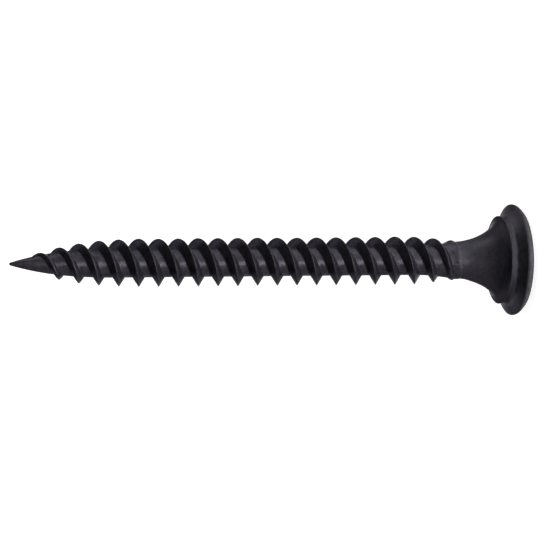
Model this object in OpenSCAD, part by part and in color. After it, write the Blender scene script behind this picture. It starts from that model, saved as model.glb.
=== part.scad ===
// Bugle-head drywall screw with a twin-start coarse thread and a cross recess.
// It stands on its head: the drive face lies on z = 0 and the point is at the top.

/* [Shank] */
// Length from the drive face to the point
length = 38.5; // [30:0.5:60]
// Diameter of the plain shank under the head
shank_d = 2.73; // [2.6:0.01:3]
// Diameter of the core between the ridges
root_d = 2.12; // [1.9:0.02:2.4]
// Length over which the core tapers to the point
point_len = 8.2; // [6:0.1:10]
// Diameter of the blunt end of the point
point_d = 0.18; // [0.06:0.02:0.3]

/* [Thread] */
// Diameter over the crests
thread_d = 3.5; // [3.2:0.05:3.9]
// Distance between two neighbouring crests, half of the lead
crest_pitch = 1.492; // [1.25:0.002:1.9]
// Width of the land along the crest
crest_land = 0.06; // [0.02:0.01:0.12]
// Slope of the flank that faces the point, in degrees
point_flank = 32; // [25:1:36]
// Slope of the flank that faces the head, in degrees
head_flank = 31; // [25:1:36]
// Length over which the crests rise from the point to the full diameter
crest_rise_len = 10.3; // [9:0.1:13]
// Where the first ridge starts, from the point
first_start = 0.6; // [0.4:0.1:2]
// How much further back the second ridge starts
second_start_lag = 1.8; // [0.8:0.1:3]
// Length over which each ridge fades in
fade_len = 1.2; // [0.6:0.1:2]
// Length over which the thread dies out below the neck
runout_len = 3.2; // [2:0.1:6]
// Height that the ridges keep where they end at the neck
crest_end_h = 0.045; // [0.02:0.005:0.08]
// How far the end of the rolled part stands out from the neck
rolled_edge = 0.02; // [0.01:0.005:0.04]

/* [Head] */
// Largest diameter of the flange
head_d = 8.14; // [7.8:0.02:8.6]
// Diameter of the flat drive face, inside the rounded rim
face_d = 6.8; // [6.4:0.05:7.2]
// Height from the drive face to the widest part of the rim
rim_h = 0.49; // [0.4:0.01:0.6]
// Radius of the rim's edge below its widest part
rim_edge_r = 0.08; // [0.04:0.01:0.12]
// Height of the flange, from the drive face to the collar
flange_h = 1.02; // [0.95:0.01:1.2]
// Height of the collar between the flange and the lip
collar_h = 0.48; // [0.34:0.01:0.6]
// Radius of the hollow between the flange and the collar
collar_fillet_r = 0.24; // [0.1:0.02:0.44]
// Diameter of the lip that ends the trumpet
lip_d = 6.44; // [6:0.02:6.8]
// How much the collar is set back from the lip, in radius
collar_set_back = 0.03; // [0.02:0.01:0.1]
// Length of the trumpet, from the lip to the rolled part
trumpet_len = 3.36; // [2.8:0.02:4.5]

/* [Recess] */
// Width across the wings of the cross at the drive face
recess_span = 4.6; // [4.2:0.1:4.9]
// Width across the wings at the foot of their ends
recess_foot = 2.3; // [2:0.1:2.6]
// Width of one wing at the drive face
wing_w = 1.2; // [1:0.05:1.4]
// Diameter of the round middle at the drive face
recess_core_d = 2.4; // [2:0.1:2.8]
// Slope of the wing ends from the axis, in degrees
wing_end_slope = 26.5; // [25:0.5:30]
// Slope of the wing sides from the axis, in degrees
wing_side_slope = 3; // [1:0.5:5]
// Full angle of the pit at the bottom, in degrees
pit_angle = 140; // [120:5:160]

/* [Hidden] */

black_phosphate = [0.13, 0.13, 0.145];

// Power of the curves of the core and the crests towards the point
ogive_power = 2.5;
// Powers of the curves of the core and the crests towards the neck
core_runout_power = 1.9;
crest_runout_power = 1.15;
// How far the last crests move towards the point, and the power of that curve
crest_shift = 0.17;
crest_shift_power = 2;
// Share of its full base width that a ridge keeps where it has no height
ridge_base_share = 0.5;
// Largest half base of a ridge, as a share of the pitch
half_base_limit = 0.49;
// Power of the trumpet's curve, where 2 would be an ellipse
trumpet_power = 1.75;
// Sweep of the rim's edge, in degrees
rim_edge_sweep = 60;
// Plug that joins the neck to the rolled part: its straight foot, its length and its end
plug_foot = 0.02;
plug_len = 0.4;
plug_end_share = 0.7;
// Helix rows this close to an end join its ring
row_snap = 0.03;
// Overrun of a cut past the face it opens in
cut = 0.5;

// Columns round the shank, rows for each crest, and crests in one turn
columns = 36;
rows = 4;
starts = 2;

trumpet_steps = 16;
rim_steps = 8;
rim_edge_steps = 3;
fillet_steps = 5;
head_fn = 96;

root_r = root_d / 2;
crest_r = thread_d / 2;
shank_r = shank_d / 2;
rolled_r = shank_r + rolled_edge;
point_r = point_d / 2;

lip_z = flange_h + collar_h;
lip_r = lip_d / 2;
collar_r = lip_r - collar_set_back;
neck_z = lip_z + trumpet_len;
rolled_len = length - neck_z;

// Height of the drive recess down to the foot of the wing ends, and of its pit
wing_h = (recess_span - recess_foot) / 2 / tan(wing_end_slope);
pit_h = recess_foot / 2 / tan(pit_angle / 2);
recess_h = wing_h + pit_h;

// Crests counted from the point down past the neck, at the column of the first angle
crest_count = ceil(rolled_len / crest_pitch) + starts;
// Angle of the crests about the axis, as a share of the pitch
crest_phase = 0.455;

function clamp01(x) = min(1, max(0, x));
function smooth(x) = let (t = clamp01(x)) t * t * (3 - 2 * t);

// A curve from 0 at the point to 1 at a distance of len from it
function ogive(from_point, len) = 1 - pow(1 - clamp01(from_point / len), ogive_power);

// 0 along the full thread, 1 where the rolled part meets the neck
function runout(from_point, power) =
    pow(clamp01((from_point - rolled_len + runout_len) / runout_len), power);

function core_radius(from_point) =
    point_r + (root_r - point_r) * ogive(from_point, point_len)
    + (rolled_r - root_r) * runout(from_point, core_runout_power);

function crest_radius(from_point) =
    crest_r * ogive(from_point, crest_rise_len)
    - (crest_r - rolled_r - crest_end_h) * runout(from_point, crest_runout_power);

// Height of a ridge above the core. Every second crest belongs to the second start.
function ridge_height(from_point, crest) =
    let (start = first_start + (crest % starts == 0 ? second_start_lag : 0))
    max(0, crest_radius(from_point) - core_radius(from_point))
    * smooth((from_point - start) / fade_len);

// Half of a ridge's base on one side of its crest, never past the middle of the groove
function half_base(height, flank) =
    let (full = (crest_r - root_r) * tan(flank))
    min(crest_land / 2 + full * ridge_base_share + height * tan(flank) * (1 - ridge_base_share),
        crest_pitch * half_base_limit);

function column_angle(column) = 360 * column / columns;

function crest_z(column, crest) =
    let (z = length + crest_pitch * (column_angle(column) / 180 - crest_phase - crest))
    z + crest_shift * runout(length - z, crest_shift_power);

// One row of the thread surface as [radius, z]. The rows of a crest are, going up,
// the foot of its lower flank, the two edges of its land and the foot of its upper flank.
function row_point(column, row) =
    let (
        crest = crest_count - floor(row / rows),
        part = row - rows * floor(row / rows),
        z = crest_z(column, crest),
        height = ridge_height(length - z, crest),
        top = core_radius(length - z) + height,
        foot_z = part == 0 ? z - half_base(height, head_flank) : z + half_base(height, point_flank)
    )
    part == 0 || part == rows - 1
        ? [core_radius(length - foot_z), foot_z]
        : [top, z + (part == 1 ? -crest_land : crest_land) / 2];

function on_circle(radius, column, z) =
    [radius * cos(column_angle(column)), radius * sin(column_angle(column)), z];

row_count = rows * (crest_count + 1);
ring_start = columns * row_count;

// Number of a grid point. A row that runs past an end takes the point on that end's ring,
// and after the last column the rows go on with the first column, one lead higher.
function grid_point(column, row) =
    column == columns ? grid_point(0, row + rows * starts)
    : let (z = row_point(column, row)[1])
        z < neck_z + row_snap ? ring_start + column
        : z > length - row_snap ? ring_start + columns + column
        : column * row_count + row;

// The core with both ridges, as one closed skin
module threaded_core() {
    grid = [
        for (column = [0 : columns - 1], row = [0 : row_count - 1])
            let (p = row_point(column, row)) on_circle(p[0], column, p[1])
    ];
    neck_ring = [for (column = [0 : columns - 1]) on_circle(rolled_r, column, neck_z)];
    point_ring = [for (column = [0 : columns - 1]) on_circle(point_r, column, length)];
    centres = [[0, 0, neck_z], [0, 0, length]];
    centre_start = ring_start + 2 * columns;

    triangles = [
        for (column = [0 : columns - 1], row = [-rows * starts : row_count - 1])
            let (
                a = grid_point(column, row),
                b = grid_point(column, row + 1),
                c = grid_point(column + 1, row + 1),
                d = grid_point(column + 1, row)
            )
            for (corner = [[a, b, c], [a, c, d]])
                if (corner[0] != corner[1] && corner[1] != corner[2] && corner[2] != corner[0])
                    corner
    ];
    neck_end = [
        for (column = [0 : columns - 1])
            [ring_start + column, ring_start + (column + 1) % columns, centre_start]
    ];
    point_end = [
        for (column = [0 : columns - 1])
            let (near = ring_start + columns)
            [near + (column + 1) % columns, near + column, centre_start + 1]
    ];
    polyhedron(
        points = concat(grid, neck_ring, point_ring, centres),
        faces = concat(triangles, neck_end, point_end)
    );
}

// Rounded rim from the drive face out to the widest part, then in to the flange's slope
function rim_curve() = concat(
    [
        for (i = [0 : rim_steps])
            let (a = 90 * i / rim_steps)
            [face_d / 2 + (head_d - face_d) / 2 * sin(a), rim_h * (1 - cos(a))]
    ],
    [
        for (i = [1 : rim_edge_steps])
            let (a = rim_edge_sweep * i / rim_edge_steps)
            [head_d / 2 - rim_edge_r * (1 - cos(a)), rim_h + rim_edge_r * sin(a)]
    ]
);

function unit(v) = v / norm(v);

// Arc that rounds a corner of an outline, from the side of the point before it
function corner_arc(before, corner, after, radius) =
    let (
        a = unit(before - corner),
        b = unit(after - corner),
        half = acos(a * b) / 2,
        centre = corner + unit(a + b) * radius / sin(half),
        start = corner + a * radius / tan(half) - centre,
        end = corner + b * radius / tan(half) - centre,
        turn = 180 - 2 * half
    )
    [
        for (i = [0 : fillet_steps])
            let (k = i / fillet_steps)
            centre + (start * sin((1 - k) * turn) + end * sin(k * turn)) / sin(turn)
    ];

// Hollow from the flange's slope into the collar, and the collar up to the lip
function collar_curve() =
    let (top = [collar_r, lip_z - collar_set_back])
    concat(
        corner_arc(rim_curve()[rim_steps + rim_edge_steps], [collar_r, flange_h], top, collar_fillet_r),
        [top]
    );

// Quarter of a superellipse, from the lip in to the shank
function trumpet_curve() =
    let (bend = 2 / trumpet_power)
    [
        for (i = [trumpet_steps : -1 : 0])
            let (a = 90 * i / trumpet_steps)
            [lip_r - (lip_r - shank_r) * pow(cos(a), bend), neck_z - trumpet_len * pow(sin(a), bend)]
    ];

module head_body() {
    rotate_extrude($fn = head_fn)
        polygon(concat(
            [[0, 0]],
            rim_curve(),
            collar_curve(),
            trumpet_curve(),
            [
                [shank_r, neck_z + plug_foot],
                [shank_r * plug_end_share, neck_z + plug_len],
                [0, neck_z + plug_len]
            ]
        ));
}

// Upright plate whose ends and underside follow one wing of the cross
module wing_ends() {
    rotate([90, 0, 0])
        linear_extrude(recess_span, center = true)
            polygon([
                [-recess_span / 2 - cut * tan(wing_end_slope), -cut],
                [recess_span / 2 + cut * tan(wing_end_slope), -cut],
                [recess_foot / 2, wing_h],
                [0, recess_h],
                [-recess_foot / 2, wing_h]
            ]);
}

// Upright plate whose sides lean in like the sides of one wing
module wing_sides() {
    foot_w = wing_w - 2 * recess_h * tan(wing_side_slope);
    mouth_w = wing_w + 2 * cut * tan(wing_side_slope);
    plate_len = 2 * recess_span;
    rotate([90, 0, 90])
        linear_extrude(plate_len, center = true)
            polygon([
                [-mouth_w / 2, -cut],
                [mouth_w / 2, -cut],
                [foot_w / 2, recess_h],
                [-foot_w / 2, recess_h]
            ]);
}

module recess_wing() {
    intersection() {
        wing_ends();
        wing_sides();
    }
}

module cross_recess() {
    recess_wing();
    rotate([0, 0, 90])
        recess_wing();
    translate([0, 0, -cut])
        cylinder(d1 = recess_core_d, d2 = wing_w, h = cut + wing_h, $fn = head_fn);
}

module screw() {
    color(black_phosphate)
        union() {
            difference() {
                head_body();
                cross_recess();
            }
            threaded_core();
        }
}

screw();
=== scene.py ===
from math import asin, ceil, cos, pi, radians, sin, sqrt, tan

import bpy
from mathutils import Matrix, Vector, noise


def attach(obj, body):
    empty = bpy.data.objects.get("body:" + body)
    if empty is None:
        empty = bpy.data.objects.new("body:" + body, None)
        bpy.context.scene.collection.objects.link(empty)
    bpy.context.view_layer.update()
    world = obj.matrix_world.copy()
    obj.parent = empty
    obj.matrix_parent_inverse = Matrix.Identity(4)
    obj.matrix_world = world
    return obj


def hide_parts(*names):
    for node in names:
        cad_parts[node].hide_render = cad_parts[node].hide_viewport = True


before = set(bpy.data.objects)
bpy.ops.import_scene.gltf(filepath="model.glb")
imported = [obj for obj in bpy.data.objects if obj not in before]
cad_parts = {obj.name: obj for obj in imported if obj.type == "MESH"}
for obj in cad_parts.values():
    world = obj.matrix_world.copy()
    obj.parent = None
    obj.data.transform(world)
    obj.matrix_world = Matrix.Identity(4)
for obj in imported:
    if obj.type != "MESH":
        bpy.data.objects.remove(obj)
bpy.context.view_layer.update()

mm = 0.001
sides = 128                    # points in every ring round the axis; crossOutline gives as many

# Sizes in mm. Heights go up from the drive face, and fromPoint goes down from the tip.
screwSizes = {
    "length": 38.5,
    "shankRadius": 1.365,
    "rootRadius": 1.06,
    "crestRadius": 1.75,
    "crestPitch": 1.492,
    "crestPhase": 0.455,       # turn of the crests, as a share of the pitch
    "pointFlank": 32,          # degrees
    "headFlank": 31,
    "flankMargin": 0.03,       # how much wider each flank is than its slope asks
    "pointLen": 8.2,
    "pointRadius": 0.09,
    "pointPower": 2.5,         # how full the point and the rise of the crests are
    "pointDome": ((0.075, 0.018), (0.04, 0.004)),    # radius, and how far below the tip
    "crestRiseLen": 10.3,
    "firstStart": 0.6,
    "secondLag": 1.8,
    "fadeLen": 1.2,
    "neckFade": 0.3,           # the crests die out within this length of the neck
    "runoutLen": 3.2,
    "crestEndHeight": 0.045,
    "crestShift": 0.17,        # how far the last crests move towards the point
    "rolledEdge": 0.02,        # how far the rolled part stands out from the neck
    "rolledSlant": 0.15,       # how much lower that edge lies at the front than at +X
    "slantLen": 1.5,           # the slant sets in over this length below the neck
    "crestBluntness": 0.11,    # rounding of a full crest, in half bases
    "runoutBluntness": 0.4,    # and where the thread dies out
    "pointBluntness": 0.7,     # and near the point
    "bluntLen": 8,             # which reaches this far from the tip
    "pointNarrowing": 0.2,     # how much narrower the ridges are near the point, as a share
    "narrowLen": 6,
    "footFillet": 0.025,       # rounding at the foot of a ridge, as a share of its height
    "crestWander": 0.03,       # how much the crest height wanders, as a share
    "tornEdge": 0.12,          # how far the last turn of the crests is torn up and down
    "crestWear": 0.02,
    "wearPower": 6,            # how closely the wear keeps to the crest
    "wornHeight": 0.5,         # ridges lower than this are less worn
}

# How late each thing changes along the run-out
runoutPowers = {"core": 1.9, "crest": 1.15, "bluntness": 1.5, "shift": 2, "torn": 3}

# How fast each kind of unevenness changes, per mm, and its place in the noise
unevenness = {"wander": (1.7, 0.5), "torn": (9, 7.5)}
ridgeStep = 3.1                # from one ridge to the other in the noise

headSizes = {
    "flangeRadius": 4.07,
    "faceRadius": 3.4,
    "rimHeight": 0.49,
    "rimEdge": 0.08,
    "rimTurn": 58,             # degrees, from the side of the rim to the flare
    "flangeHeight": 1.02,
    "collarFillet": 0.24,
    "collarHeight": 0.48,
    "lipRadius": 3.22,
    "lipEdge": 0.03,
    "trumpetLen": 3.36,
    "trumpetPower": 1.75,      # 2 would be an ellipse
}

lipHeight = headSizes["flangeHeight"] + headSizes["collarHeight"]
neckHeight = lipHeight + headSizes["trumpetLen"]
rolledLen = screwSizes["length"] - neckHeight
rolledRadius = screwSizes["shankRadius"] + screwSizes["rolledEdge"]


def clamp01(x):
    return min(1.0, max(0.0, x))


def smoothStep(x):
    t = clamp01(x)
    return t * t * (3 - 2 * t)


def ogive(fromPoint, reach):
    return 1 - (1 - clamp01(fromPoint / reach)) ** screwSizes["pointPower"]


def runout(fromPoint, kind):
    return clamp01((fromPoint - rolledLen) / screwSizes["runoutLen"] + 1) ** runoutPowers[kind]


def uneven(fromPoint, crest, kind):
    # a smooth value from -1 to 1, different on each of the two ridges
    perMm, layer = unevenness[kind]
    return noise.noise(Vector((fromPoint * perMm, crest % 2 * ridgeStep, layer)))


def coreRadius(fromPoint):
    s = screwSizes
    return (s["pointRadius"] + (s["rootRadius"] - s["pointRadius"]) * ogive(fromPoint, s["pointLen"])
            + (rolledRadius - s["rootRadius"]) * runout(fromPoint, "core"))


def crestEnvelope(fromPoint):
    s = screwSizes
    return (s["crestRadius"] * ogive(fromPoint, s["crestRiseLen"])
            - (s["crestRadius"] - rolledRadius - s["crestEndHeight"]) * runout(fromPoint, "crest"))


def ridgeHeight(fromPoint, crest):
    s = screwSizes
    start = s["firstStart"] + (s["secondLag"] if crest % 2 == 0 else 0)
    height = max(0.0, crestEnvelope(fromPoint) - coreRadius(fromPoint))
    fade = (smoothStep((fromPoint - start) / s["fadeLen"])
            * smoothStep((rolledLen - fromPoint) / s["neckFade"]))
    return height * fade * (1 + s["crestWander"] * uneven(fromPoint, crest, "wander"))


def halfBase(height, flank):
    # half of it follows the ridge's own height, so a low ridge is wider than its slope asks
    s = screwSizes
    full = (s["crestRadius"] - s["rootRadius"]) * tan(radians(flank))
    return s["flankMargin"] + full * 0.5 + height * tan(radians(flank)) * 0.5


def ridgeShape(t, bluntness):
    # 1 on the crest, 0 past the foot; t counts half bases from the crest
    far = sqrt(1 + bluntness ** 2)
    rise = (far - sqrt(t * t + bluntness ** 2)) / (far - bluntness)
    fillet = screwSizes["footFillet"]
    return (rise + sqrt(rise ** 2 + fillet ** 2)) / (1 + sqrt(1 + fillet ** 2))


def crestHeightAt(side, crest):
    s = screwSizes
    z = s["length"] + s["crestPitch"] * (2 * side / sides - s["crestPhase"] - crest)
    fromPoint = s["length"] - z
    return (z + s["crestShift"] * runout(fromPoint, "shift")
            + s["tornEdge"] * runout(fromPoint, "torn") * uneven(fromPoint, crest, "torn"))


# Places of the rows on each side of a crest, in half bases, from the crest out
flankRows = [0.05, 0.12, 0.22, 0.45, 0.7, 0.88, 0.97, 1.05, 1.2]
grooveRow = 2.0                # stands for the row half way between two crests
rowsPerCrest = 2 * len(flankRows) + 2


def threadRow(side, row, crestCount):
    # one point of the helical grid: radius, height, and how near it is to a crest
    s = screwSizes
    crest = crestCount - row // rowsPerCrest
    part = row % rowsPerCrest
    middle = len(flankRows) + 1
    z = crestHeightAt(side, crest)
    fromPoint = s["length"] - z
    height = ridgeHeight(fromPoint, crest)
    narrow = 1 - s["pointNarrowing"] * (1 - smoothStep(fromPoint / s["narrowLen"]))
    if part == 0:
        z -= s["crestPitch"] / 2
        t = grooveRow
    elif part < middle:
        t = flankRows[middle - 1 - part]
        z -= t * halfBase(height, s["headFlank"]) * narrow
    elif part == middle:
        t = 0.0
    else:
        t = flankRows[part - middle - 1]
        z += t * halfBase(height, s["pointFlank"]) * narrow
    sharp = s["crestBluntness"]
    bluntness = (sharp + (s["runoutBluntness"] - sharp) * runout(fromPoint, "bluntness")
                 + (s["pointBluntness"] - sharp) * (1 - smoothStep(fromPoint / s["bluntLen"])))
    rise = ridgeShape(t, bluntness)
    radius = coreRadius(s["length"] - z) + height * rise
    return radius, z, rise * smoothStep(height / s["wornHeight"])


def roundCorner(before, corner, after, radius, steps):
    # points of the arc that rounds a corner of the head's outline
    a = (Vector(before) - Vector(corner)).normalized()
    b = (Vector(after) - Vector(corner)).normalized()
    half = a.angle(b) / 2
    reach = radius / tan(half)
    centre = Vector(corner) + (a + b).normalized() * (radius / sin(half))
    start = Vector(corner) + a * reach - centre
    end = Vector(corner) + b * reach - centre
    turn = start.angle(end)
    points = []
    for i in range(steps + 1):
        k = i / steps
        p = centre + (start * sin((1 - k) * turn) + end * sin(k * turn)) / sin(turn)
        points.append((p.x, p.y))
    return points


# How worn each part of the head is, from 0 to 1. On the rim the value is partly wear and partly painted
# highlight, and on the flare, the collar fillet and the neck ring it is painted highlight.
headWearAndSheen = {
    "face": 0.1,
    "mouth": (0.25, 0.06),     # inside the recess, and more with each row out
    # the rim's pale band is partly worn coating and partly a painted highlight of light reflected off the
    # rim
    "rim": 1.06,
    "rimPower": 2.5,           # how late it falls off towards the side
    "rimOnset": (2, 6),        # it sets in over the first rows
    "rimEdge": 0.06,
    # painted brightening of the flare where light falls, growing towards the collar
    "flare": (0.03, 0.13),     # at the rim, and more towards the collar
    # painted highlight in the corner under the lip, brightest at its foot
    "fillet": (0.18, 0.028),   # at its foot, and less with each row
    "lip": 0.15,
    "lipFace": 0.1,
}

# Numbers of steps, or places of rows, along the head's outline
headRows = {
    "face": (0.1, 0.35, 0.65, 0.9),        # shares of the way from the recess to the rim
    "rim": 12,
    "rimEdge": 5,
    "flare": (0.15, 0.4, 0.65, 0.85),      # shares of the way to the fillet
    "fillet": 6,
    "collar": ((0.08, 0.0), (0.02, 0.05)),           # how far under the lip's edge, and wear
    "lip": 4,
    "trumpet": 40,
    # share of the rolled edge, height over the neck, and wear, which on these rows paints a thin highlight
    # line round the neck
    "rolledEdge": ((0.2, 0.015, 0.0), (0.8, 0.045, 0.12), (1.25, 0.075, 0.12), (1.35, 0.09, 0.0)),
}


def headOutline():
    # radius, height, and wear with painted highlights, from the flat of the drive face out and up to the
    # neck
    h, w, rows = headSizes, headWearAndSheen, headRows
    points = []
    wide = h["flangeRadius"] - h["faceRadius"]
    before, onsetRows = w["rimOnset"]
    for i in range(rows["rim"] + 1):
        a = pi / 2 * i / rows["rim"]
        wornAndSheen = clamp01(w["rim"] - (i / rows["rim"]) ** w["rimPower"]) * smoothStep((i + before) / onsetRows)
        points.append((h["faceRadius"] + wide * sin(a), h["rimHeight"] * (1 - cos(a)), wornAndSheen))
    for i in range(1, rows["rimEdge"] + 1):
        a = radians(h["rimTurn"]) * i / rows["rimEdge"]
        points.append((h["flangeRadius"] - h["rimEdge"] * (1 - cos(a)),
                       h["rimHeight"] + h["rimEdge"] * sin(a), w["rimEdge"]))

    collar = h["lipRadius"] - h["lipEdge"]
    flareTop = points[-1][:2]
    fillet = roundCorner(flareTop, (collar, h["flangeHeight"]), (collar, lipHeight),
                         h["collarFillet"], rows["fillet"])
    for k in rows["flare"]:
        points.append((flareTop[0] + (fillet[0][0] - flareTop[0]) * k,
                       flareTop[1] + (fillet[0][1] - flareTop[1]) * k,
                       w["flare"][0] + w["flare"][1] * k ** 2))
    points += [(r, z, w["fillet"][0] - w["fillet"][1] * i) for i, (r, z) in enumerate(fillet)]
    points += [(collar, lipHeight - h["lipEdge"] - down, wornAndSheen) for down, wornAndSheen in rows["collar"]]
    for i in range(1, rows["lip"]):
        a = pi / 2 * i / rows["lip"]
        points.append((collar + h["lipEdge"] * sin(a), lipHeight - h["lipEdge"] * cos(a), w["lip"]))

    shank = screwSizes["shankRadius"]
    bend = 2 / h["trumpetPower"]
    for i in range(rows["trumpet"], -1, -1):
        a = pi / 2 * i / rows["trumpet"]
        points.append((h["lipRadius"] - (h["lipRadius"] - shank) * cos(a) ** bend,
                       neckHeight - h["trumpetLen"] * sin(a) ** bend,
                       w["lipFace"] if i == rows["trumpet"] else 0.0))
    points += [(shank + share * screwSizes["rolledEdge"], neckHeight + up, wornAndSheen)
               for share, up, wornAndSheen in rows["rolledEdge"]]
    return points


def ring(radius, height):
    angles = [2 * pi * i / sides for i in range(sides)]
    return [(radius * cos(a), radius * sin(a), height) for a in angles]


def headRing(radius, height):
    # a ring of the head, which slants near the neck
    slant = screwSizes["rolledSlant"] * smoothStep((height - neckHeight) / screwSizes["slantLen"] + 1)
    return [(x, y, z - slant * (1 - x / radius)) for x, y, z in ring(radius, height)]


recessSizes = {
    "span": 4.6,
    "foot": 2.3,
    "wingWidth": 1.2,
    "middle": 2.4,
    "endSlope": 26.5,          # degrees from the axis
    "sideSlope": 3,
    "pitAngle": 140,
    "mouthEdge": 0.06,
    "cornerRadius": 0.14,
    "widestWing": 0.85,        # as a share of the reach, down in the pit
    "widestCorner": 0.45,      # as a share of the wing
    "leastMiddle": 1.42,       # just outside the corners between the wings
    "pitRows": (0.12, 0.35, 0.6, 0.8, 0.93),         # shares of the pit's width
    "wallRows": (1.0, 0.97, 0.9, 0.75, 0.6, 0.45, 0.3, 0.15, 0.06),      # shares of the wall's height
    "mouthRows": 4,
}


def crossOutline(reach, wing, middle, corner, height):
    # one level of the cross recess, as many points as a ring has and in the same order
    wing = min(wing, reach * recessSizes["widestWing"])
    corner = min(corner, wing * recessSizes["widestCorner"])
    middle = max(middle, wing * recessSizes["leastMiddle"])
    inner = sqrt(middle ** 2 - wing ** 2)

    # half a wing: its end, its corner, its side, and the arc up to the diagonal
    eighth = [(reach, k * (wing - corner)) for k in (0, 0.4, 0.75)]
    for i in range(5):
        a = pi / 8 * i
        eighth.append((reach - corner * (1 - cos(a)), wing - corner * (1 - sin(a))))
    eighth += [(reach - corner + (inner - reach + corner) * k, wing) for k in (0.15, 0.4, 0.65, 0.9, 1.0)]
    first = asin(wing / middle)
    for i in range(1, 4):
        a = first + (pi / 4 - first) * i / 4
        eighth.append((middle * cos(a), middle * sin(a)))
    diagonal = (middle * cos(pi / 4), middle * sin(pi / 4))
    quarter = eighth + [diagonal] + [(y, x) for x, y in eighth[:0:-1]]
    points = []
    for cosTurn, sinTurn in ((1, 0), (0, 1), (-1, 0), (0, -1)):
        points += [(cosTurn * x - sinTurn * y, sinTurn * x + cosTurn * y, height) for x, y in quarter]
    return points


def recessRings():
    # from the bottom of the pit down to the flat of the drive face
    r = recessSizes
    endTan, sideTan = tan(radians(r["endSlope"])), tan(radians(r["sideSlope"]))
    footHeight = (r["span"] - r["foot"]) / 2 / endTan
    pitHeight = r["foot"] / 2 / tan(radians(r["pitAngle"] / 2))
    rings = []
    for k in r["pitRows"]:
        z = footHeight + pitHeight * (1 - k)
        rings.append((crossOutline(r["foot"] / 2 * k, r["wingWidth"] / 2 - z * sideTan,
                                   r["wingWidth"] / 2 * k, r["cornerRadius"], z), 0.0))
    for k in r["wallRows"]:
        z = footHeight * k
        rings.append((crossOutline(r["span"] / 2 - z * endTan, r["wingWidth"] / 2 - z * sideTan,
                                   r["middle"] / 2 + (r["wingWidth"] - r["middle"]) / 2 * k,
                                   r["cornerRadius"], z), 0.0))
    edge = r["mouthEdge"]
    inside, perRow = headWearAndSheen["mouth"]
    for i in range(r["mouthRows"] + 1):
        a = pi / 2 * i / r["mouthRows"]
        out = edge * (1 - cos(a))
        rings.append((crossOutline(r["span"] / 2 + out, r["wingWidth"] / 2 + out, r["middle"] / 2 + out,
                                   r["cornerRadius"] + out, edge * (1 - sin(a))), inside + perRow * i))
    return rings, footHeight + pitHeight


# Where the helical grid ends, in mm: over the neck, below the tip, and its gap to the rings there
gridEnds = {"neck": 0.14, "tip": 0.04, "gap": 0.02}


def buildScrew():
    points, wearAndSheen, faces = [], [], []

    def addRing(corners, amount):
        first = len(points)
        points.extend(corners)
        wearAndSheen.extend([amount] * len(corners))
        return [first + i for i in range(len(corners))]

    def bridge(lower, upper):
        for i in range(sides):
            j = (i + 1) % sides
            faces.append((lower[i], lower[j], upper[j], upper[i]))

    # the head, from the bottom of the recess out over the rim and up the trumpet
    mouths, pitDepth = recessRings()
    pit = addRing([(0, 0, pitDepth)], 0.0)[0]
    rings = [addRing(corners, amount) for corners, amount in mouths]
    faces.extend((pit, rings[0][(i + 1) % sides], rings[0][i]) for i in range(sides))
    mouth = mouths[-1][0]
    rim = ring(headSizes["faceRadius"], 0)
    for k in headRows["face"]:
        flat = [tuple(Vector(a).lerp(Vector(b), k)) for a, b in zip(mouth, rim)]
        rings.append(addRing(flat, headWearAndSheen["face"]))
    rings += [addRing(headRing(r, z), amount) for r, z, amount in headOutline()]
    print("head rows:", len(rings))

    # the core and both ridges, on rows that follow the helix
    s = screwSizes
    startHeight = neckHeight + gridEnds["neck"]
    tipHeight = s["length"] - gridEnds["tip"]
    neckRing = addRing(ring(rolledRadius, startHeight), 0.0)
    tipRing = addRing(ring(coreRadius(gridEnds["tip"]), tipHeight), 0.0)
    for lower, upper in zip(rings, rings[1:] + [neckRing]):
        bridge(lower, upper)
    crestCount = ceil((s["length"] - startHeight) / s["crestPitch"]) + 2
    rowCount = rowsPerCrest * (crestCount + 1)
    grid = {}
    for side in range(sides):
        angle = 2 * pi * side / sides
        for row in range(rowCount):
            radius, z, near = threadRow(side, row, crestCount)
            if z < startHeight + gridEnds["gap"]:
                grid[side, row] = neckRing[side]
            elif z > tipHeight - gridEnds["gap"]:
                grid[side, row] = tipRing[side]
            else:
                grid[side, row] = len(points)
                points.append((radius * cos(angle), radius * sin(angle), z))
                wearAndSheen.append(s["crestWear"] * near ** s["wearPower"])

    def gridPoint(side, row):
        if side == sides:                 # the rows go on one lead higher
            side, row = 0, row + 2 * rowsPerCrest
        if row < 0:
            return neckRing[side]
        if row >= rowCount:
            return tipRing[side]
        return grid[side, row]

    for side in range(sides):
        for row in range(-2 * rowsPerCrest, rowCount):
            corners = (gridPoint(side, row), gridPoint(side + 1, row),
                       gridPoint(side + 1, row + 1), gridPoint(side, row + 1))
            kept = tuple(dict.fromkeys(corners))
            if len(kept) > 2:
                faces.append(kept)

    # the blunt end of the point
    dome = [tipRing] + [addRing(ring(r, s["length"] - drop), 0.0) for r, drop in s["pointDome"]]
    for lower, upper in zip(dome, dome[1:]):
        bridge(lower, upper)
    tip = addRing([(0, 0, s["length"])], 0.0)[0]
    faces.extend((dome[-1][i], dome[-1][(i + 1) % sides], tip) for i in range(sides))

    mesh = bpy.data.meshes.new("drywallScrew")
    mesh.from_pydata([(x * mm, y * mm, z * mm) for x, y, z in points], [], faces)
    mesh.polygons.foreach_set("use_smooth", [True] * len(mesh.polygons))
    # wear, together with the painted highlights of the rim, flare, fillet and neck ring
    wornAndSheen = mesh.attributes.new("wearAndSheen", "FLOAT", "POINT")
    wornAndSheen.data.foreach_set("value", wearAndSheen)
    mesh.validate()
    mesh.update()
    screw = bpy.data.objects.new("drywallScrew", mesh)
    bpy.context.scene.collection.objects.link(screw)
    print("screw mesh:", len(mesh.vertices), "points,", len(mesh.polygons), "faces")
    return screw


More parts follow.
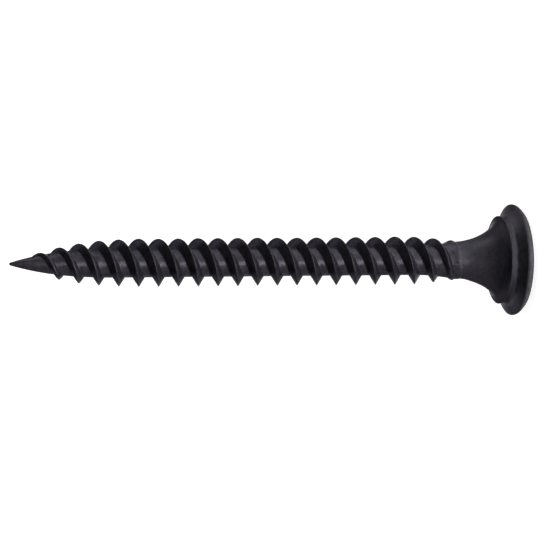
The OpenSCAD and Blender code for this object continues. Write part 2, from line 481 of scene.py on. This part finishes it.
def addNode(tree, kind, x, y, **settings):
    node = tree.nodes.new(kind)
    node.location = (x, y)
    for name, value in settings.items():
        setattr(node, name, value)
    return node


def feed(tree, target, value):
    # another node's output is linked, and a number or colour is set
    if isinstance(value, bpy.types.NodeSocket):
        tree.links.new(value, target)
    else:
        target.default_value = value


def mixColour(tree, x, y, factor, a, b):
    node = addNode(tree, "ShaderNodeMix", x, y, data_type="RGBA", blend_type="MIX")
    for socket, value in (("Factor_Float", factor), ("A_Color", a), ("B_Color", b)):
        feed(tree, next(i for i in node.inputs if i.identifier == socket), value)
    return next(o for o in node.outputs if o.identifier == "Result_Color")


def maths(tree, x, y, operation, a, b, clamp=False):
    node = addNode(tree, "ShaderNodeMath", x, y, operation=operation, use_clamp=clamp)
    for target, value in zip(node.inputs, (a, b)):
        feed(tree, target, value)
    return node.outputs[0]


def remap(tree, x, y, value, low, high, toLow, toHigh):
    node = addNode(tree, "ShaderNodeMapRange", x, y)
    tree.links.new(value, node.inputs["Value"])
    for name, amount in (("From Min", low), ("From Max", high), ("To Min", toLow), ("To Max", toHigh)):
        node.inputs[name].default_value = amount
    return node.outputs["Result"]


def noiseField(tree, x, y, coordinates, scale, detail, roughness=0.55):
    node = addNode(tree, "ShaderNodeTexNoise", x, y)
    tree.links.new(coordinates, node.inputs["Vector"])
    node.inputs["Scale"].default_value = scale
    node.inputs["Detail"].default_value = detail
    node.inputs["Roughness"].default_value = roughness
    return node.outputs["Fac"]


def scaled(tree, x, y, coordinates, scale):
    node = addNode(tree, "ShaderNodeMapping", x, y)
    node.inputs["Scale"].default_value = scale
    tree.links.new(coordinates, node.inputs["Vector"])
    return node.outputs[0]


phosphate = {
    "dark": (0.0195, 0.0182, 0.0228, 1),
    "light": (0.0410, 0.0382, 0.0468, 1),
    # pale worn metal, also the colour of the painted highlights on the head
    "wornAndSheen": (0.27, 0.263, 0.28, 1),
    "edgeSheen": (0.4, 0.4, 0.4, 1),
    "toneRange": (0.36, 0.64),
    "roughness": (0.26, 0.38),       # at the dark and the light end of that range
    "headRoughness": 0.08,           # more on the head
    # the higher metallic also goes where a highlight is painted on the head
    "metallic": (0.6, 0.9),          # of the coating, and where it is worn
    "contrast": (2.2, 3.6),          # on the head, and on the thread
    "threadBlend": 0.1,              # mm below the neck, where the head's coating gives way
    "grainScale": 8000,              # crystals, per metre
    "grainShare": 0.45,              # of the tone; the mottle makes the rest
    "grainDepth": (0.08, 0.5),       # on the head, and on the thread
    "mottleScale": 2600,
    # the patches break up both the wear and the painted highlights
    "wearAndSheenPatches": (0.35, 0.62),     # mottle at the least and the most worn patches
    "leastWearAndSheen": 0.6,
    "rollingScale": 5200,
    "rollingStretch": (1, 1, 0.02),
    "turningScale": 7000,
    "turningStretch": (0.06, 0.06, 1),
    "turningDepth": 0.22,
    "bumpStrength": 0.4,
    "bumpDistance": 0.03,            # mm
}


def blackPhosphate():
    p = phosphate
    material = bpy.data.materials.new("blackPhosphate")
    material.use_nodes = True
    tree = material.node_tree
    shader = tree.nodes["Principled BSDF"]
    place = addNode(tree, "ShaderNodeTexCoord", -1700, 0).outputs["Object"]

    # turned back along the helix, the rolling marks become straight lines
    split = addNode(tree, "ShaderNodeSeparateXYZ", -1500, -300)
    tree.links.new(place, split.inputs[0])
    twist = maths(tree, -1300, -400, "MULTIPLY", split.outputs["Z"], -pi / (screwSizes["crestPitch"] * mm))
    unwind = addNode(tree, "ShaderNodeVectorRotate", -1100, -300, rotation_type="Z_AXIS")
    tree.links.new(place, unwind.inputs["Vector"])
    tree.links.new(twist, unwind.inputs["Angle"])
    straight = scaled(tree, -900, -300, unwind.outputs[0], p["rollingStretch"])
    rolling = noiseField(tree, -700, -300, straight, p["rollingScale"], 2.0)

    grain = noiseField(tree, -700, 0, place, p["grainScale"], 4.0, 0.6)
    mottle = noiseField(tree, -700, 300, place, p["mottleScale"], 3.0)
    blendFrom = (neckHeight - p["threadBlend"]) * mm
    onThread = remap(tree, -700, -600, split.outputs["Z"], blendFrom, neckHeight * mm, 0, 1)

    # dark and light crystals, and paler metal where the coating is worn and where highlights are painted on
    # the head's rim, flare, fillet and neck ring
    tone = maths(tree, -450, 200, "ADD", maths(tree, -600, 200, "MULTIPLY", grain, p["grainShare"]),
                 maths(tree, -600, 100, "MULTIPLY", mottle, 1 - p["grainShare"]))
    contrast = remap(tree, -450, 400, onThread, 0, 1, *p["contrast"])
    spread = maths(tree, -300, 200, "MULTIPLY", maths(tree, -400, 300, "SUBTRACT", tone, 0.5), contrast)
    spread = maths(tree, -200, 200, "ADD", spread, 0.5, clamp=True)
    base = mixColour(tree, -100, 200, spread, p["dark"], p["light"])
    wearAndSheenMask = addNode(tree, "ShaderNodeAttribute", -700, 600, attribute_name="wearAndSheen").outputs["Fac"]
    patchy = remap(tree, -450, 600, mottle, *p["wearAndSheenPatches"], p["leastWearAndSheen"], 1)
    wornAndSheen = maths(tree, -300, 600, "MULTIPLY", wearAndSheenMask, patchy, clamp=True)
    tree.links.new(mixColour(tree, 100, 200, wornAndSheen, base, p["wornAndSheen"]), shader.inputs["Base Color"])
    tree.links.new(remap(tree, 100, 500, wornAndSheen, 0, 1, *p["metallic"]), shader.inputs["Metallic"])

    rough = remap(tree, -100, -100, tone, *p["toneRange"], *p["roughness"])
    onHead = remap(tree, -100, -200, onThread, 0, 1, p["headRoughness"], 0)
    tree.links.new(maths(tree, 50, -100, "ADD", rough, onHead), shader.inputs["Roughness"])

    # relief: rolling marks on the thread, turning marks on the head, and crystals on both
    flattened = scaled(tree, -900, -700, place, p["turningStretch"])
    turning = noiseField(tree, -700, -800, flattened, p["turningScale"], 2.0)
    headDepth = maths(tree, -500, -700, "SUBTRACT", p["turningDepth"],
                      maths(tree, -600, -700, "MULTIPLY", onThread, p["turningDepth"]))
    lines = maths(tree, -350, -400, "ADD", maths(tree, -450, -400, "MULTIPLY", rolling, onThread),
                  maths(tree, -450, -600, "MULTIPLY", turning, headDepth))
    depth = remap(tree, -450, -100, onThread, 0, 1, *p["grainDepth"])
    relief = maths(tree, -300, -300, "ADD", maths(tree, -450, -200, "MULTIPLY", grain, depth), lines)
    bump = addNode(tree, "ShaderNodeBump", 100, -300)
    bump.inputs["Strength"].default_value = p["bumpStrength"]
    bump.inputs["Distance"].default_value = p["bumpDistance"] * mm
    tree.links.new(relief, bump.inputs["Height"])
    tree.links.new(bump.outputs[0], shader.inputs["Normal"])

    shader.inputs["Specular IOR Level"].default_value = 0.0
    shader.inputs["Specular Tint"].default_value = p["edgeSheen"]
    print("material built: blackPhosphate")
    return material


# Lengths in metres
studio = {
    "holeRadius": 0.0037,      # under the drive face, so light reaches it from below
    "floorRings": (0.05, 0.3),
    "floorRadius": 0.9,
    "wallRadius": 1.2,
    "wallHeight": 0.65,
    "wallSteps": 12,
    "floorSides": 96,
    "floorDrop": 0.00002,
    "floorGlow": 0.84,
    "floorPaint": (0.8, 0.8, 0.8, 1),
    "worldGrey": 0.065,
}


def buildFloor():
    # a round floor that curves up into a low wall, with a hole hidden under the head
    profile = [(r, 0) for r in (studio["holeRadius"], *studio["floorRings"], studio["floorRadius"])]
    sweep = studio["wallRadius"] - studio["floorRadius"]
    for i in range(1, studio["wallSteps"] + 1):
        a = pi / 2 * i / studio["wallSteps"]
        profile.append((studio["floorRadius"] + sweep * sin(a), studio["wallHeight"] * (1 - cos(a))))
    count = studio["floorSides"]
    points = [(r * cos(2 * pi * i / count), r * sin(2 * pi * i / count), z - studio["floorDrop"])
              for r, z in profile for i in range(count)]
    faces = []
    for row in range(len(profile) - 1):
        for i in range(count):
            j = (i + 1) % count
            faces.append((row * count + j, row * count + i, (row + 1) * count + i, (row + 1) * count + j))
    mesh = bpy.data.meshes.new("studioFloor")
    mesh.from_pydata(points, [], faces)
    mesh.polygons.foreach_set("use_smooth", [True] * len(mesh.polygons))
    mesh.update()
    floorObject = bpy.data.objects.new("studioFloor", mesh)
    bpy.context.scene.collection.objects.link(floorObject)

    material = bpy.data.materials.new("studioWhite")
    material.use_nodes = True
    tree = material.node_tree
    shader = tree.nodes["Principled BSDF"]
    shader.inputs["Base Color"].default_value = studio["floorPaint"]
    shader.inputs["Roughness"].default_value = 1.0
    shader.inputs["Specular IOR Level"].default_value = 0.0
    glow = addNode(tree, "ShaderNodeEmission", 0, -300)
    rays = addNode(tree, "ShaderNodeLightPath", -600, -300).outputs
    seen = maths(tree, -400, -300, "MAXIMUM", rays["Is Camera Ray"], rays["Is Glossy Ray"])
    seen = maths(tree, -250, -300, "MAXIMUM", seen, rays["Is Transmission Ray"])
    tree.links.new(maths(tree, -100, -300, "MULTIPLY", seen, studio["floorGlow"]), glow.inputs["Strength"])
    both = addNode(tree, "ShaderNodeAddShader", 300, 0)
    tree.links.new(shader.outputs[0], both.inputs[0])
    tree.links.new(glow.outputs[0], both.inputs[1])
    # seen from below, the floor lets the camera through
    clear = addNode(tree, "ShaderNodeBsdfTransparent", 300, -200)
    underside = addNode(tree, "ShaderNodeNewGeometry", 100, 300).outputs["Backfacing"]
    through = maths(tree, 300, 300, "MULTIPLY", underside, rays["Is Camera Ray"])
    pick = addNode(tree, "ShaderNodeMixShader", 500, 0)
    tree.links.new(through, pick.inputs[0])
    tree.links.new(both.outputs[0], pick.inputs[1])
    tree.links.new(clear.outputs[0], pick.inputs[2])
    tree.links.new(pick.outputs[0], tree.nodes["Material Output"].inputs["Surface"])
    mesh.materials.append(material)
    print("floor built")


# Turn counts from the front towards +X; sizes and distances in mm; brightness 1 looks white.
# A lamp with near and far lies on the floor between them and shines up.
lights = {
    "collarStrip": {"turn": 0, "near": 5, "far": 10, "width": 16, "brightness": 3.7},
    "frontStrip": {"turn": -13, "near": 26, "far": 110, "width": 15, "brightness": 15.5},
    "farStrip": {"turn": -6, "near": 110, "far": 420, "width": 56, "brightness": 15.0},
    "rearCollarStrip": {"turn": 180, "near": 5, "far": 10, "width": 16, "brightness": 3.7},
    "rearStrip": {"turn": 167, "near": 26, "far": 110, "width": 18, "brightness": 8.0},
    "farRearStrip": {"turn": 190, "near": 110, "far": 420, "width": 70, "brightness": 8.0},
    "leftStrip": {"turn": -136, "near": 40, "far": 300, "width": 50, "brightness": 5.0},
    "sideStrip": {"turn": 66, "near": 4.6, "far": 130, "width": 90, "brightness": 2.1},
    "sideBox": {"turn": 90, "rise": 12, "distance": 300, "width": 160, "height": 120, "brightness": 3.1},
    "frontBox": {"turn": 0, "rise": 32, "distance": 300, "width": 320, "height": 180, "brightness": 0.15},
    "backBox": {"turn": 145, "rise": 38, "distance": 300, "width": 220, "height": 160, "brightness": 1.8},
    "backFill": {"turn": -160, "rise": 28, "distance": 300, "width": 200, "height": 160, "brightness": 2.2},
    "underHead": {"turn": 0, "rise": -70, "distance": 150, "width": 120, "height": 120, "brightness": 5.0},
}
stripLift = 0.4                # mm over the floor


def addSoftbox(name, place, aim, width, height, brightness):
    lamp = bpy.data.lights.new(name, "AREA")
    lamp.shape = "RECTANGLE"
    lamp.size = width * mm
    lamp.size_y = height * mm
    lamp.energy = brightness * pi * width * height * mm * mm
    box = bpy.data.objects.new(name, lamp)
    box.location = Vector(place) * mm
    box.rotation_euler = (Vector(aim) - Vector(place)).to_track_quat("-Z", "Y").to_euler()
    box.visible_camera = False
    bpy.context.scene.collection.objects.link(box)
    return box


def buildLights():
    world = bpy.data.worlds.new("studioWorld")
    world.use_nodes = True
    grey = studio["worldGrey"]
    world.node_tree.nodes["Background"].inputs["Color"].default_value = (grey, grey, grey, 1)
    bpy.context.scene.world = world
    middle = Vector((0, 0, screwSizes["length"] / 2))
    for name, light in lights.items():
        turn = radians(light["turn"])
        ahead = Vector((sin(turn), -cos(turn), 0))
        if "near" in light:
            place = ahead * (light["near"] + light["far"]) / 2 + Vector((0, 0, stripLift))
            strip = addSoftbox(name, place, place + Vector((0, 0, 1)), light["width"],
                               light["far"] - light["near"], light["brightness"])
            strip.rotation_euler = (pi, 0, turn)
        else:
            rise = radians(light["rise"])
            place = middle + (ahead * cos(rise) + Vector((0, 0, sin(rise)))) * light["distance"]
            addSoftbox(name, place, middle, light["width"], light["height"], light["brightness"])
    print("lights placed:", len(lights))


camera = {
    "distance": 502,           # mm
    "elevation": 16.513,       # degrees above the floor
    "roll": 0.516,
    "frameWidth": 39.216,      # mm across the picture, at the screw's axis
    "aim": (-0.597, 0.0, 18.97),
    "sensorWidth": 36,
    "clip": (0.02, 5),         # metres
}


def buildCamera():
    # the screw stands, and the picture lies on its side: the camera's right is down the axis
    c = camera
    lens = bpy.data.cameras.new("camera")
    lens.sensor_width = c["sensorWidth"]
    lens.lens = c["sensorWidth"] * c["distance"] / c["frameWidth"]
    lens.clip_start, lens.clip_end = c["clip"]
    viewer = bpy.data.objects.new("camera", lens)
    tilt, roll = radians(c["elevation"]), radians(c["roll"])
    back = Vector((0, -cos(tilt), sin(tilt)))
    right = Vector((0, -sin(tilt), -cos(tilt)))
    up = Vector((1, 0, 0))
    right, up = right * cos(roll) - up * sin(roll), up * cos(roll) + right * sin(roll)
    turn = Matrix((right, up, back)).transposed().to_4x4()
    viewer.matrix_world = Matrix.Translation((Vector(c["aim"]) + back * c["distance"]) * mm) @ turn
    bpy.context.scene.collection.objects.link(viewer)
    bpy.context.scene.camera = viewer
    print("camera placed")


buildCamera()
buildFloor()
buildLights()
screw = buildScrew()
screw.data.materials.append(blackPhosphate())
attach(screw, "root")
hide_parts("screw")

bpy.context.scene.view_settings.view_transform = "Standard"
